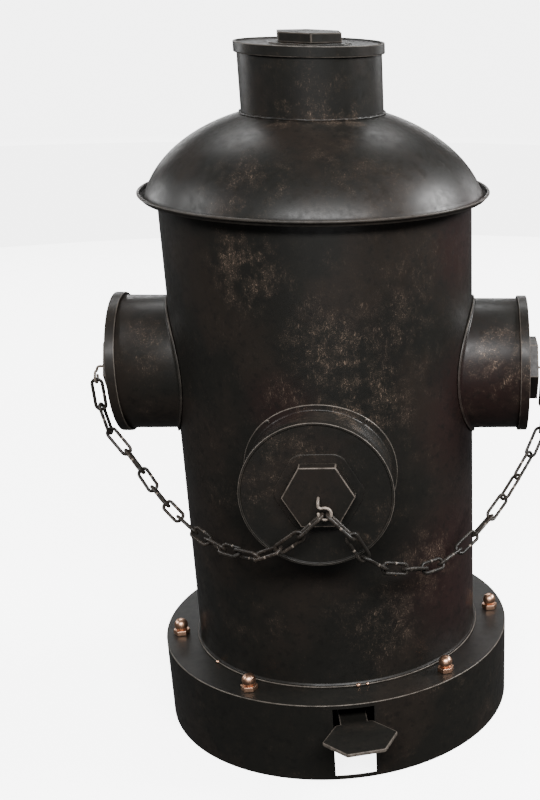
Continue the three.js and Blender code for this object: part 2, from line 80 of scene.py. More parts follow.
SHEET = 1.5 * MM             # thickness of the sheet
AIR = 0.6 * MM               # from the body's wall to the nozzles' collars
EDGE = 0.7 * MM              # rounding of a sheet's edge, where nothing else is said
HEM = 3 * MM                 # how far the skirt's foot folds in, and how high the fold is
SLOT_HALF = 18 * MM          # half the width of the pedal's slot
SLOT_TOP = 73 * MM           # height of the slot's upper edge
FLANGE = 3 * MM              # width and height of the flange at the body's foot
FOOT_WELDS = [               # on the flange: degrees round from the front, and radius
    (-59, 1.7 * MM),
    (3, 1.9 * MM),
    (6.5, 1.4 * MM),
]
RIVET = 1.7 * MM             # radius of the two rivets on the front collar
RIVET_HEIGHT = 1.1 * MM
RIVET_INSET = 1.6 * MM       # from the collar's outside in to the middle of a rivet
RIVET_TURN = 40              # degrees of each rivet round from the collar's top
RIM_WIRE = 1.2 * MM          # radius of the wire in the lid's edge
GUTTER_DEPTH = 2.3 * MM      # from that wire's middle down to the gutter inside it
DOME_FLARE = 2.3 * MM        # from the dome's foot out to the gutter
DOME_HALF_WIDTH = 143 * MM   # the dome's section is a quarter of an ellipse
DOME_HALF_HEIGHT = 92 * MM
DOME_FOOT = 138.9 * MM       # radius of the dome's foot
BAND_LIP = 1.2 * MM          # raised edge round the face of each cap
BOSS_HEIGHT = 1 * MM         # pressed hexagon under each large nut
BOSS_CORNER = 37.6 * MM      # from its middle to a corner, before the corners are rounded
BOSS_ROUNDING = 14 * MM
NOZZLE_NUT = 10 * MM         # thickness of the large nuts
NECK_NUT = 7.5 * MM
NUT_FLATS = 50 * MM
COLLAR_FILLET = 1.3 * MM     # between a nozzle's tube and its collar
HOOK_LOOP = 5 * MM           # radius of the loop of the wire hook on each nozzle nut
HOOK_ASIDE = 5 * MM          # from the nut's middle to the loop's
HOOK_BEND = 3 * MM           # radius of the turn down from the nut
HOOK_CAD_WIRE = 1.3 * MM     # wire radius of the hook in the CAD
HOOK_WIRE = 1.15 * MM        # and of the finished one, which is a little thinner
LINK_CAD_WIRE = 1.6 * MM     # wire radius of a chain link in the CAD
LINK_WIRE = 1.5 * MM         # and of the finished one
BALL_RADIUS = 6.2 * MM       # round nuts on the base: ball, hexagonal foot, neck between them
BALL_FOOT_CORNER = 7.5 * MM
BALL_FOOT_HEIGHT = 4.6 * MM
BALL_NECK = 4.2 * MM
BUCKET_LIP = 3 * MM          # width and height of the bucket's rolled lip
BUCKET_TAPER = 12 * MM       # how much narrower the bucket's foot is than its mouth
BUCKET_WALL = 2 * MM
BAIL_TURN_IN = 11 * MM       # how far the bail's ends turn in, through holes in the bucket

# ---- Fineness of the meshes ----

BODY_AROUND = 192            # steps round the body, the dome and the base plate
SKIRT_AROUND = 280
TUBE_AROUND = 144            # round the neck, the nozzles and their caps
BUCKET_AROUND = 128
ARC_STEPS = 5                # along a rounded edge
HOLD = 0.6 * MM              # from a rounded edge to the row of points that keeps the rest flat

# ---- Finishes ----

GLOSS = 0.16                 # reflectance of the dark finish, as a share of the shader's 8%
RUB_METAL = 0.4              # how metallic that finish is where it is rubbed bare
BASE_TONE = (0.0064, 0.0061, 0.0053)
BROWN_TONE = (0.0100, 0.0080, 0.0066)
WINE_TONE = (0.0120, 0.0058, 0.0054)
RUBBED_TONE = (0.260, 0.185, 0.135)
# Edge tones: the lighter edges are partly wear and partly a painted highlight
EDGE_WEAR_AND_HIGHLIGHT_TONE = (0.200, 0.172, 0.146)
WORN_AND_HIGHLIGHT_TONE = (0.300, 0.250, 0.210)
CHAIN_TONE = (0.0085, 0.0075, 0.0064)
CHAIN_BROWN = (0.0160, 0.0120, 0.0092)
# The hooks are painted lighter than the chain, as a painted highlight on their wire.
HOOK_HIGHLIGHT_TONE = (0.0240, 0.0205, 0.0172)
COPPER_TONES = ((0.55, 0.33, 0.22), (0.20, 0.115, 0.08))   # clean and stained
STEEL_TONES = ((0.36, 0.36, 0.35), (0.20, 0.19, 0.18))
ZINC_TONES = ((0.50, 0.51, 0.52), (0.36, 0.37, 0.38))
SHEET_WEAR_AND_HIGHLIGHT = 0.38            # how light a worn edge is painted, from 0 to 1: bare finish and a painted highlight together
FITTING_WEAR_AND_HIGHLIGHT = 0.7

# ---- Studio and camera ----

FLOOR_GLOW = 5.0             # emission of the floor, which only the camera sees
FLOOR_FLAT = 4.0             # radius of its flat part
FLOOR_CURVE = 1.5            # radius of its upward curve
FLOOR_TOP = 6.0
FLOOR_TONES = ((0.86, 0.86, 0.86), (0.88, 0.88, 0.88))
SHADE_TONE = (0.01, 0.01, 0.01)
WORLD_GLOW = 0.11
SHADE_INNER = 96 * MM        # the floor under the foot is painted dark, as shade, inside this radius
SHADE_OUTER = 112 * MM       # and fully lit outside this one
LIGHTS = {                   # place, width, height, watts
    "front_softbox": ((0.05, -1.9, 1.8), 2.2, 0.45, 165),
    "low_front_fill": ((0.0, -2.2, 0.3), 1.8, 0.4, 7),
    "left_softbox": ((-1.8, 0.1, 1.35), 0.8, 0.6, 24),
    "right_softbox": ((1.8, 0.0, 1.35), 0.9, 0.6, 95),
    "left_rim": ((-1.5, 1.4, 0.7), 0.5, 0.5, 8),
    "right_rim": ((1.5, 1.4, 0.7), 0.5, 0.5, 5),
    "back_softbox": ((0.0, 2.1, 0.70), 1.6, 0.26, 8),
    "high_back_softbox": ((0.0, 1.7, 2.3), 2.2, 0.45, 38),
}
CAMERA_LENS = 57.45          # millimetres, on a sensor 36 wide
CAMERA_SENSOR = 36
CAMERA_PLACE = (-0.0555, -1.1164, 0.6704)
CAMERA_RIGHT = (0.9736, -0.2267, 0.0262)
CAMERA_UP = (0.0718, 0.4134, 0.9077)
CAMERA_SHIFT = (-0.3616, 0.178)

# ---- Reading the frame ----


def along(node, direction):
    """Lowest and highest reach of a CAD node's vertices along a direction."""
    direction = Vector(direction).normalized()
    reaches = [vertex.co.dot(direction) for vertex in frame["nodes"][node].data.vertices]
    return min(reaches), max(reaches)


def middle(node):
    """Middle of a CAD node's box."""
    low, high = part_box(node)
    return (low + high) / 2


# ---- Mesh helpers ----


def rounded(corners, closed=True):
    """Points of an outline given as (x, y, radius) corners.
    Each radius becomes an arc, held by a point on either side."""
    points = []
    count = len(corners)
    for index, (x, y, radius) in enumerate(corners):
        here = Vector((x, y))
        if radius == 0 or (not closed and index in (0, count - 1)):
            points.append(here)
            continue
        before = Vector(corners[index - 1][:2]) - here
        after = Vector(corners[(index + 1) % count][:2]) - here
        half = before.angle(after) / 2
        reach = radius / math.tan(half)
        back = before.normalized()
        onward = after.normalized()
        centre = here + (back + onward).normalized() * (radius / math.sin(half))
        start = here + back * reach - centre
        end = here + onward * reach - centre
        turn = math.atan2(start.x * end.y - start.y * end.x, start.dot(end))
        if before.length > 2 * (reach + HOLD):
            points.append(here + back * (reach + HOLD))
        for step in range(ARC_STEPS + 1):
            spin = Matrix.Rotation(turn * step / ARC_STEPS, 2)
            points.append(centre + spin @ start)
        if after.length > 2 * (reach + HOLD):
            points.append(here + onward * (reach + HOLD))
    return points


def line_of(*pairs):
    """Points of an outline given as (x, y) pairs."""
    return [Vector(pair) for pair in pairs]


def polar(radius, angle):
    """The point (x, y) at a distance and an angle from the origin."""
    return Vector((radius * math.cos(angle), radius * math.sin(angle)))


def arc(x, y, radius, first, last, steps):
    """Points on a circle from one angle to another, in degrees."""
    points = []
    for step in range(steps + 1):
        angle = math.radians(first + (last - first) * step / steps)
        points.append(Vector((x, y)) + polar(radius, angle))
    return points


def turned(section, around, ring=True, skip=None):
    """A section of (radius, height) points turned round Z. The section may be a function of the angle.
    Faces for which skip(angle, index) is true are left out, and the rims of the two openings this
    makes are joined."""
    shape = bmesh.new()
    rows = []
    for step in range(around):
        angle = 2 * math.pi * step / around
        profile = section(angle) if callable(section) else section
        row = []
        for index, (radius, height) in enumerate(profile):
            if radius < 1e-7 and rows:
                row.append(rows[0][index])
            else:
                row.append(shape.verts.new((*polar(radius, angle), height)))
        rows.append(row)
    length = len(rows[0])
    pairs = [(index, index + 1) for index in range(length - 1)]
    if ring:
        pairs.append((length - 1, 0))
    for step in range(around):
        here = rows[step]
        after = rows[(step + 1) % around]
        for low, high in pairs:
            if skip is not None and skip(2 * math.pi * (step + 0.5) / around, low):
                continue
            corners = []
            for vertex in (here[low], after[low], after[high], here[high]):
                if vertex not in corners:
                    corners.append(vertex)
            if len(corners) > 2:
                shape.faces.new(corners)
    if skip is not None:
        rims = [edge for edge in shape.edges if len(edge.link_faces) == 1]
        bmesh.ops.bridge_loops(shape, edges=rims)
    return shape


def prism(outline, low, high):
    """A flat outline of (x, y) points standing from one height to another."""
    shape = bmesh.new()
    floor = [shape.verts.new((x, y, low)) for x, y in outline]
    roof = [shape.verts.new((x, y, high)) for x, y in outline]
    shape.faces.new(list(reversed(floor)))
    shape.faces.new(roof)
    count = len(outline)
    for index in range(count):
        onward = (index + 1) % count
        shape.faces.new((floor[index], floor[onward], roof[onward], roof[index]))
    return shape


def pressed(outline, low, high, radius):
    """A prism whose upper edge is rolled over: each step of the edge is the outline drawn in.
    The steps are too shallow to count as an edge for the lighter edges of wear and painted highlight."""
    shape = bmesh.new()
    reach = min(Vector(point).length for point in outline)
    levels = [(0.0, low), (0.0, high - radius - HOLD)]
    steps = 2 * ARC_STEPS
    for step in range(steps + 1):
        angle = math.pi / 2 * step / steps
        levels.append((radius * (1 - math.cos(angle)), high - radius * (1 - math.sin(angle))))
    levels.append((radius + HOLD, high))
    rows = []
    for inset, height in levels:
        scale = 1 - inset / reach
        row = []
        for point in outline:
            x, y = Vector(point) * scale
            row.append(shape.verts.new((x, y, height)))
        rows.append(row)
    count = len(outline)
    for lower, upper in zip(rows, rows[1:]):
        for index in range(count):
            onward = (index + 1) % count
            shape.faces.new((lower[index], lower[onward], upper[onward], upper[index]))
    shape.faces.new(list(reversed(rows[0])))
    shape.faces.new(rows[-1])
    return shape


def swept(points, radius, sides, loop=False):
    """A round wire along points. The radius may be a list with one size a point.
    The ends of an open wire are domed."""
    points = [Vector(point) for point in points]
    count = len(points)
    sizes = radius if isinstance(radius, list) else [radius] * count
    headings = []
    for index in range(count):
        ahead = points[(index + 1) % count] if loop else points[min(index + 1, count - 1)]
        behind = points[index - 1] if loop else points[max(index - 1, 0)]
        headings.append((ahead - behind).normalized())
    side = headings[0].orthogonal().normalized()
    stations = []
    for index in range(count):
        side = (side - headings[index] * side.dot(headings[index])).normalized()
        stations.append((points[index], headings[index], side.copy(), sizes[index]))
    if not loop:
        stations = domed(stations[0], -1) + stations + domed(stations[-1], 1)
    shape = bmesh.new()
    rows = []
    for centre, heading, across, size in stations:
        up = heading.cross(across)
        row = []
        for step in range(sides):
            angle = 2 * math.pi * step / sides
            spoke = across * math.cos(angle) + up * math.sin(angle)
            row.append(shape.verts.new(centre + spoke * size))
        rows.append(row)
    for index in range(len(rows) if loop else len(rows) - 1):
        here = rows[index]
        after = rows[(index + 1) % len(rows)]
        shift = 0 if index + 1 < len(rows) else nearest(here[0], after)
        for step in range(sides):
            onward = (step + 1) % sides
            beyond = after[(onward + shift) % sides]
            beside = after[(step + shift) % sides]
            shape.faces.new((here[step], here[onward], beyond, beside))
    if not loop:
        shape.faces.new(list(reversed(rows[0])))
        shape.faces.new(rows[-1])
    return shape


def nearest(vertex, row):
    """Place in a row of the vertex nearest to another one."""
    distances = [(other.co - vertex.co).length for other in row]
    return distances.index(min(distances))


def domed(station, sense):
    """Shrinking stations that round off one end of a wire."""
    centre, heading, across, radius = station
    caps = []
    for degrees in (30, 55, 75):
        angle = math.radians(degrees)
        out = centre + heading * (sense * radius * math.sin(angle))
        caps.append((out, heading, across, radius * math.cos(angle)))
    return caps if sense > 0 else list(reversed(caps))


def merged(*shapes):
    """Several shapes as one. The shapes themselves are used up."""
    whole = bmesh.new()
    for shape in shapes:
        data = bpy.data.meshes.new("part")
        shape.to_mesh(data)
        whole.from_mesh(data)
        bpy.data.meshes.remove(data)
        shape.free()
    return whole


def moved(shape, place):
    """The same shape, put in another place."""
    bmesh.ops.transform(shape, matrix=place, verts=shape.verts)
    return shape


def bevelled(shape, width, hold=0.0):
    """Rounds every sharp edge of a flat-sided shape. A hold keeps the lighter band of wear and painted
    highlight that near to the edges.
    """
    bmesh.ops.recalc_face_normals(shape, faces=shape.faces)
    paired = [edge for edge in shape.edges if len(edge.link_faces) == 2]
    sharp = [edge for edge in paired if edge.calc_face_angle() > math.radians(40)]
    bmesh.ops.bevel(shape, geom=sharp, offset=width, segments=3, profile=0.5, affect="EDGES",
                    clamp_overlap=True)
    if hold:
        broad = [face for face in shape.faces if face.calc_area() > 2.4 * hold * face.calc_perimeter()]
        bmesh.ops.inset_individual(shape, faces=broad, thickness=hold, use_even_offset=True)
    return shape


def mark_edges(data, wear_and_highlight):
    """Writes how sharply each rounded edge bends outwards at its vertices, for the materials' lighter
    edges, which are partly wear and partly a painted highlight.
    An edge that no rounding softens has no vertices close by, and gets no lighter edge."""
    shape = bmesh.new()
    shape.from_mesh(data)
    layer = shape.verts.layers.float.new("edge")
    for vertex in shape.verts:
        bend = 0.0
        for edge in vertex.link_edges:
            if len(edge.link_faces) == 2:
                bend = max(bend, edge.calc_face_angle_signed(0.0))
        if min(edge.calc_length() for edge in vertex.link_edges) < HOLD:
            vertex[layer] = wear_and_highlight * min(1.0, max(0.0, (math.degrees(bend) - 9) / 7))
    shape.to_mesh(data)
    shape.free()


def piece(name, shape, body, material, smooth=40, stands_for=(), wear_and_highlight=1.0):
    """Makes a mesh object of a shape that is in place in the row frame, riding on a CAD body.
    A last factor scales how light its edges are painted: partly wear, partly a painted highlight."""
    bmesh.ops.recalc_face_normals(shape, faces=shape.faces)
    data = bpy.data.meshes.new(name)
    shape.to_mesh(data)
    shape.free()
    data.polygons.foreach_set("use_smooth", [True] * len(data.polygons))
    data.set_sharp_from_angle(angle=math.radians(smooth))
    mark_edges(data, wear_and_highlight)
    data.materials.append(material)
    thing = bpy.data.objects.new(name, data)
    bpy.context.scene.collection.objects.link(thing)
    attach(thing, body)
    if stands_for:
        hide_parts(*stands_for)


def recut(node, body, material, width, hold=0.0, wear_and_highlight=1.0):
    """A CAD node's own shape with its flat faces joined and its edges rounded."""
    shape = bmesh.new()
    shape.from_mesh(frame["nodes"][node].data)
    bmesh.ops.remove_doubles(shape, verts=shape.verts, dist=0.01 * MM)
    flat = math.radians(0.5)
    bmesh.ops.dissolve_limit(shape, angle_limit=flat, verts=shape.verts, edges=shape.edges)
    bevelled(shape, width, hold)
    piece(node + "_finished", shape, body, material, stands_for=(node,), wear_and_highlight=wear_and_highlight)


def hexagon(corner, rounding, turn=0.0):
    """A hexagon with rounded corners, one of them pointing along +X turned by some degrees."""
    corners = []
    for step in range(6):
        angle = math.radians(turn + 60 * step)
        corners.append((*polar(corner, angle), rounding))
    return rounded(corners)


# ---- Materials ----


class Finish:
    """One procedural material. Values between its nodes are passed as sockets or as plain numbers."""

    def __init__(self, name):
        self.material = bpy.data.materials.new(name)
        self.material.use_nodes = True
        self.tree = self.material.node_tree
        self.tree.nodes.clear()
        self.shader = self.tree.nodes.new("ShaderNodeBsdfPrincipled")
        output = self.tree.nodes.new("ShaderNodeOutputMaterial")
        self.tree.links.new(self.shader.outputs[0], output.inputs[0])
        self.place = self.tree.nodes.new("ShaderNodeTexCoord").outputs["Object"]

    def feed(self, socket, value):
        """Links a node's output to an input, or gives the input a number or a colour."""
        if hasattr(value, "is_linked"):
            self.tree.links.new(value, socket)
        elif isinstance(value, tuple) and len(value) == 3 and socket.type == "RGBA":
            socket.default_value = (*value, 1.0)
        else:
            socket.default_value = value

    def set(self, **values):
        """Feeds the shader's inputs, named with underscores for spaces."""
        for name, value in values.items():
            self.feed(self.shader.inputs[name.replace("_", " ")], value)

    def calc(self, operation, first, second):
        """Arithmetic on two values."""
        node = self.tree.nodes.new("ShaderNodeMath")
        node.operation = operation
        self.feed(node.inputs[0], first)
        self.feed(node.inputs[1], second)
        return node.outputs[0]

    def step(self, value, low, high, to_low=0.0, to_high=1.0):
        """A smooth step from to_low to to_high as the value goes from low to high."""
        node = self.tree.nodes.new("ShaderNodeMapRange")
        node.interpolation_type = "SMOOTHSTEP"
        self.feed(node.inputs["Value"], value)
        node.inputs["From Min"].default_value = low
        node.inputs["From Max"].default_value = high
        node.inputs["To Min"].default_value = to_low
        node.inputs["To Max"].default_value = to_high
        return node.outputs["Result"]

    def blend(self, share, first, second):
        """The first colour at share 0, the second at share 1."""
        node = self.tree.nodes.new("ShaderNodeMix")
        node.data_type = "RGBA"
        self.feed(node.inputs["Factor"], share)
        self.feed(node.inputs[6], first)
        self.feed(node.inputs[7], second)
        return node.outputs[2]

    def stretched(self, scale):
        """Coordinates scaled by three factors, to draw noise out along an axis."""
        node = self.tree.nodes.new("ShaderNodeMapping")
        node.inputs["Scale"].default_value = scale
        self.tree.links.new(self.place, node.inputs["Vector"])
        return node.outputs[0]

    def grain(self, size, detail=4.0, roughness=0.55, seed=0.0, place=None, swirl=0.0):
        """Noise whose largest features are about that size across. A swirl bends them."""
        node = self.tree.nodes.new("ShaderNodeTexNoise")
        node.noise_dimensions = "4D"
        self.tree.links.new(place or self.place, node.inputs["Vector"])
        node.inputs["W"].default_value = seed
        node.inputs["Scale"].default_value = 1 / size
        node.inputs["Detail"].default_value = detail
        node.inputs["Roughness"].default_value = roughness
        node.inputs["Distortion"].default_value = swirl
        return node.outputs["Fac"]

    def distance(self, centre):
        """Distance from a place in the row frame."""
        node = self.tree.nodes.new("ShaderNodeVectorMath")
        node.operation = "DISTANCE"
        self.tree.links.new(self.place, node.inputs[0])
        node.inputs[1].default_value = centre
        return node.outputs["Value"]

    def near(self, centre, radius, strength):
        """Strength at a place in the row frame, fading to nothing at a distance from it."""
        return self.step(self.distance(centre), 0.25 * radius, radius, strength, 0.0)

    def edges(self):
        """The wear that mark_edges wrote."""
        node = self.tree.nodes.new("ShaderNodeAttribute")
        node.attribute_name = "edge"
        return node.outputs["Fac"]

    def bump(self, height, strength, distance):
        """Gives the surface a fine relief."""
        node = self.tree.nodes.new("ShaderNodeBump")
        node.inputs["Strength"].default_value = strength
        node.inputs["Distance"].default_value = distance
        self.feed(node.inputs["Height"], height)
        self.tree.links.new(node.outputs[0], self.shader.inputs["Normal"])


def bronze(name, base, brown, rub, edge, wear_and_highlight, patches=(), tints=()):
    """Dark satin bronze over sheet: cloudy brown, with specks and scratches rubbed in patches,
    lighter edges that are partly worn and partly a painted highlight, and reddish tints. A patch or a
    tint is a place, a radius and a strength."""
    look = Finish(name)

    # The clouded colour, with its tints
    cloud = look.grain(70 * MM, 3, 0.55, 1.0)
    mottle = look.grain(6 * MM, 5, 0.65, 2.0)
    tone = look.blend(look.step(cloud, 0.45, 0.62), base, brown)
    dark = tuple(0.4 * value for value in base)
    for centre, radius, strength in tints:
        tone = look.blend(look.near(centre, radius, strength), tone, WINE_TONE)
    tone = look.blend(look.step(mottle, 0.48, 0.68, 0.0, 0.55), tone, dark)

    # Specks and scratches, thick in the patches and thin elsewhere
    area = look.step(look.grain(45 * MM, 3, 0.55, 3.0), 0.5, 0.75, 0.06, 0.4)
    for centre, radius, strength in patches:
        area = look.calc("MAXIMUM", area, look.near(centre, radius, strength))
    clumps = look.step(look.grain(16 * MM, 5, 0.75, 8.0), 0.42, 0.72)
    specks = look.step(look.grain(1.0 * MM, 4, 0.75, 4.0), 0.57, 0.64)
    upright = look.stretched((1, 1, 0.3))
    scratches = look.step(look.grain(2.6 * MM, 4, 0.7, 9.0, upright, 2.4), 0.57, 0.65)
    marks = look.calc("MAXIMUM", specks, scratches)
    haze = look.calc("ADD", look.calc("MULTIPLY", marks, 0.9), 0.06)
    rubbed = look.calc("MULTIPLY", look.calc("MULTIPLY", area, clumps), haze)

    # Lighter edges, partly worn and partly a painted highlight, broken up along their length
    broken = look.step(look.grain(7 * MM, 4, 0.65, 5.0), 0.3, 0.62, 0.35, 1.0)
    worn_and_highlit = look.calc("MULTIPLY", look.calc("MULTIPLY", look.edges(), broken), wear_and_highlight)
    bare = look.calc("MAXIMUM", rubbed, worn_and_highlit)
    tone = look.blend(worn_and_highlit, look.blend(rubbed, tone, rub), edge)

    # Sheen and relief
    fine = look.grain(0.9 * MM, 3, 0.6, 6.0)
    rough = look.step(mottle, 0.3, 0.7, 0.33, 0.46)
    metal = look.calc("MULTIPLY", bare, RUB_METAL)
    look.set(Base_Color=tone, Metallic=metal, Roughness=rough, Specular_IOR_Level=GLOSS)
    relief = look.calc("ADD", look.calc("MULTIPLY", fine, 0.4), look.calc("MULTIPLY", mottle, 0.6))
    look.bump(relief, 0.25, 0.12 * MM)
    return look.material


def bare_metal(name, tones, roughness, grain_scale=(1, 1, 1)):
    """Plain metal with fine drawn lines and a few stains."""
    light, dark = tones
    look = Finish(name)
    drawn = look.grain(1.2 * MM, 4, 0.6, 7.0, look.stretched(grain_scale))
    stains = look.grain(18 * MM, 4, 0.6, 8.0)
    tone = look.blend(look.step(stains, 0.42, 0.68), light, dark)
    tone = look.blend(look.step(drawn, 0.4, 0.7, 0.0, 0.4), tone, dark)
    bright = tuple(min(1.0, 1.25 * value) for value in light)
    tone = look.blend(look.calc("MULTIPLY", look.edges(), 0.6), tone, bright)
    rough = look.step(stains, 0.3, 0.7, roughness - 0.06, roughness + 0.12)
    look.set(Base_Color=tone, Metallic=1.0, Roughness=rough)
    look.bump(drawn, 0.2, 0.05 * MM)
    return look.material


def on_body(degrees, share):
    """A place on the body's outside: degrees round to the right from the front, and a share of the
    way up."""
    low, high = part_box("body_shell")
    return Vector((*polar(high.x, math.radians(degrees - 90)), low.z + share * (high.z - low.z)))


def rubbed_patches():
    """Where hands, the chain and the weld have rubbed the sheet: place, radius and strength."""
    front = middle("nozzle_cap_front")
    right = middle("nozzle_tube_right")
    left = middle("nozzle_tube_left")
    neck_low, neck_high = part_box("neck_tube")
    lid_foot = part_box("lid_dome")[0].z
    cap_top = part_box("neck_cap")[1].z
    weld = neck_low.z + 3 * MM
    along_weld = [(Vector((x * MM, neck_low.y, weld)), 17 * MM, 1.1) for x in (-30, -8, 12, 30)]
    return along_weld + [
        (Vector((-6 * MM, neck_low.y, neck_high.z - 14 * MM)), 20 * MM, 0.5),
        (Vector((-25 * MM, -20 * MM, cap_top)), 45 * MM, 0.6),
        (Vector((-60 * MM, -105 * MM, lid_foot + 26 * MM)), 50 * MM, 0.5),
        (Vector((30 * MM, -115 * MM, lid_foot + 20 * MM)), 50 * MM, 0.3),
        (right + Vector((8 * MM, -50 * MM, 14 * MM)), 46 * MM, 1.4),
        (left + Vector((-10 * MM, -45 * MM, 30 * MM)), 36 * MM, 0.5),
        (on_body(0, 0.74), 55 * MM, 0.8),
        (on_body(12, 0.62), 55 * MM, 1.0),
        (on_body(-30, 0.88), 46 * MM, 0.9),
        (on_body(-14, 0.62), 40 * MM, 0.6),
        (on_body(26, 0.78), 45 * MM, 0.5),
        (on_body(16, 0.14), 55 * MM, 0.5),
        (on_body(36, 0.24), 50 * MM, 0.8),
        (front + Vector((-16 * MM, 0, 44 * MM)), 34 * MM, 0.6),
        (front + Vector((-45 * MM, 0, 8 * MM)), 26 * MM, 0.6),
        (front + Vector((50 * MM, 0, -30 * MM)), 36 * MM, 0.5),
    ]


def wine_tints():
    """Where the finish has turned reddish: down the right of the body, and one spot on its front."""
    return [
        (on_body(58, 0.2), 110 * MM, 0.8),
        (on_body(62, 0.55), 90 * MM, 0.7),
        (on_body(60, 0.9), 60 * MM, 0.7),
        (on_body(-20, 0.62), 40 * MM, 0.5),
    ]


CHAIN_PATCHES = [(middle("nozzle_cap_front"), 600 * MM, 0.5)]
BRONZE = bronze("bronze_sheet", BASE_TONE, BROWN_TONE, RUBBED_TONE, EDGE_WEAR_AND_HIGHLIGHT_TONE, SHEET_WEAR_AND_HIGHLIGHT,
                rubbed_patches(), wine_tints())
FITTING = bronze("bronze_fittings", BASE_TONE, BROWN_TONE, RUBBED_TONE, WORN_AND_HIGHLIGHT_TONE, FITTING_WEAR_AND_HIGHLIGHT)
CHAIN = bronze("chain_wire", CHAIN_TONE, CHAIN_BROWN, WORN_AND_HIGHLIGHT_TONE, WORN_AND_HIGHLIGHT_TONE, FITTING_WEAR_AND_HIGHLIGHT,
               CHAIN_PATCHES)
# The hooks' lighter tone is a painted highlight.
HOOK = bronze("hook_wire_highlighted", HOOK_HIGHLIGHT_TONE, CHAIN_BROWN, WORN_AND_HIGHLIGHT_TONE, WORN_AND_HIGHLIGHT_TONE, FITTING_WEAR_AND_HIGHLIGHT, CHAIN_PATCHES)
COPPER = bare_metal("copper_nuts", COPPER_TONES, 0.32)
STEEL = bare_metal("steel_hardware", STEEL_TONES, 0.38, (1, 1, 0.08))
ZINC = bare_metal("zinc_bucket", ZINC_TONES, 0.42, (1, 1, 0.1))

# ---- Base ----


def make_skirt():
    """The rolled skirt, folded in at its foot and open at the pedal's slot."""
    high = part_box("base_skirt")[1]
    radius = high.x
    inside = radius - SHEET
    top = high.z
    sill = HEM + EDGE
    section = rounded([(inside, sill, 0), (inside, HEM, 0.5 * MM), (radius - HEM, HEM, 0.5 * MM),
                       (radius - HEM, 0, EDGE), (radius, 0, EDGE), (radius, sill, 0)], closed=False)
    outer = len(section) - 1
    section += line_of((radius, SLOT_TOP), (radius, top), (inside, top), (inside, SLOT_TOP))
    inner = len(section) - 1
    half = math.asin(SLOT_HALF / radius)

    def skip(angle, index):
        return abs(angle - 1.5 * math.pi) < half and index in (outer, inner)

    shape = turned(section, SKIRT_AROUND, skip=skip)
    piece("skirt", shape, "body", BRONZE, stands_for=("base_skirt",))


def make_base_plate():
    """The round plate on the skirt, which the body stands on."""
    low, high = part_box("base_plate")
    radius = high.x
    section = rounded([(0, low.z, 0), (radius, low.z, 0.4 * MM), (radius, high.z, EDGE),
                       (0, high.z, 0)], closed=False)
    shape = turned(section, BODY_AROUND, ring=False)
    piece("plate", shape, "body", BRONZE, stands_for=("base_plate",))


def make_ball_nut(node):
    """A ball on a short neck and a hexagonal foot."""
    low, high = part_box(node)
    centre = middle(node)
    ball = BALL_RADIUS
    height = high.z - low.z
    turn = math.degrees(math.atan2(centre.y, centre.x))
    foot = bevelled(prism(hexagon(BALL_FOOT_CORNER, 0.4 * MM, turn), 0, BALL_FOOT_HEIGHT), 0.5 * MM)
    section = line_of((0, 3 * MM), (BALL_NECK, 3 * MM), (BALL_NECK, 5 * MM))
    section += arc(0, height - ball, ball, -46, 89, 16) + line_of((0, height))
    upper = turned(section, 32, ring=False)
    shape = moved(merged(foot, upper), Matrix.Translation((centre.x, centre.y, low.z)))
    piece(node.replace("ball_nut", "round_nut"), shape, "body", COPPER, stands_for=(node,))


# ---- Body ----


def make_body():
    """The rolled wall with its flanged foot and a few weld spots on it. Returns the wall's radius."""
    low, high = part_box("body_shell")
    flange = high.x
    radius = flange - FLANGE
    inside = radius - SHEET
    section = rounded([(inside, low.z, 0), (flange, low.z, 0.4 * MM), (flange, low.z + SHEET, 0.7 * MM),
                       (radius + 1 * MM, low.z + SHEET, 0.3 * MM), (radius, low.z + FLANGE, 0.6 * MM),
                       (radius, high.z, 0.4 * MM), (inside, high.z, 0.4 * MM)])
    shape = turned(section, BODY_AROUND)
    piece("body_wall", shape, "body", BRONZE, stands_for=("body_shell",))
    spots = []
    for degrees, size in FOOT_WELDS:
        angle = math.radians(degrees - 90)
        place = Matrix.Translation((*polar(flange, angle), low.z + SHEET))
        spots.append(moved(stud(size, 0.8 * size), place))
    piece("foot_welds", merged(*spots), "body", COPPER, smooth=60)
    return radius


# ---- Lid ----


def dome_height(radius):
    """Height of the dome's outside at a distance from its axis."""
    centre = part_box("lid_dome")[1].z - DOME_HALF_HEIGHT
    return centre + DOME_HALF_HEIGHT * math.sqrt(1 - (radius / DOME_HALF_WIDTH) ** 2)


def dome_arc(inset, centre, steps=44):
    """The dome's elliptical section from its foot up to the axis."""
    half_width = DOME_HALF_WIDTH - inset
    half_height = DOME_HALF_HEIGHT - inset
    start = math.acos((DOME_FOOT - inset) / half_width)
    points = []
    for step in range(steps + 1):
        angle = start + (math.pi / 2 - start) * step / steps
        points.append(Vector((half_width * math.cos(angle), centre + half_height * math.sin(angle))))
    points[-1].x = 0.0
    return points


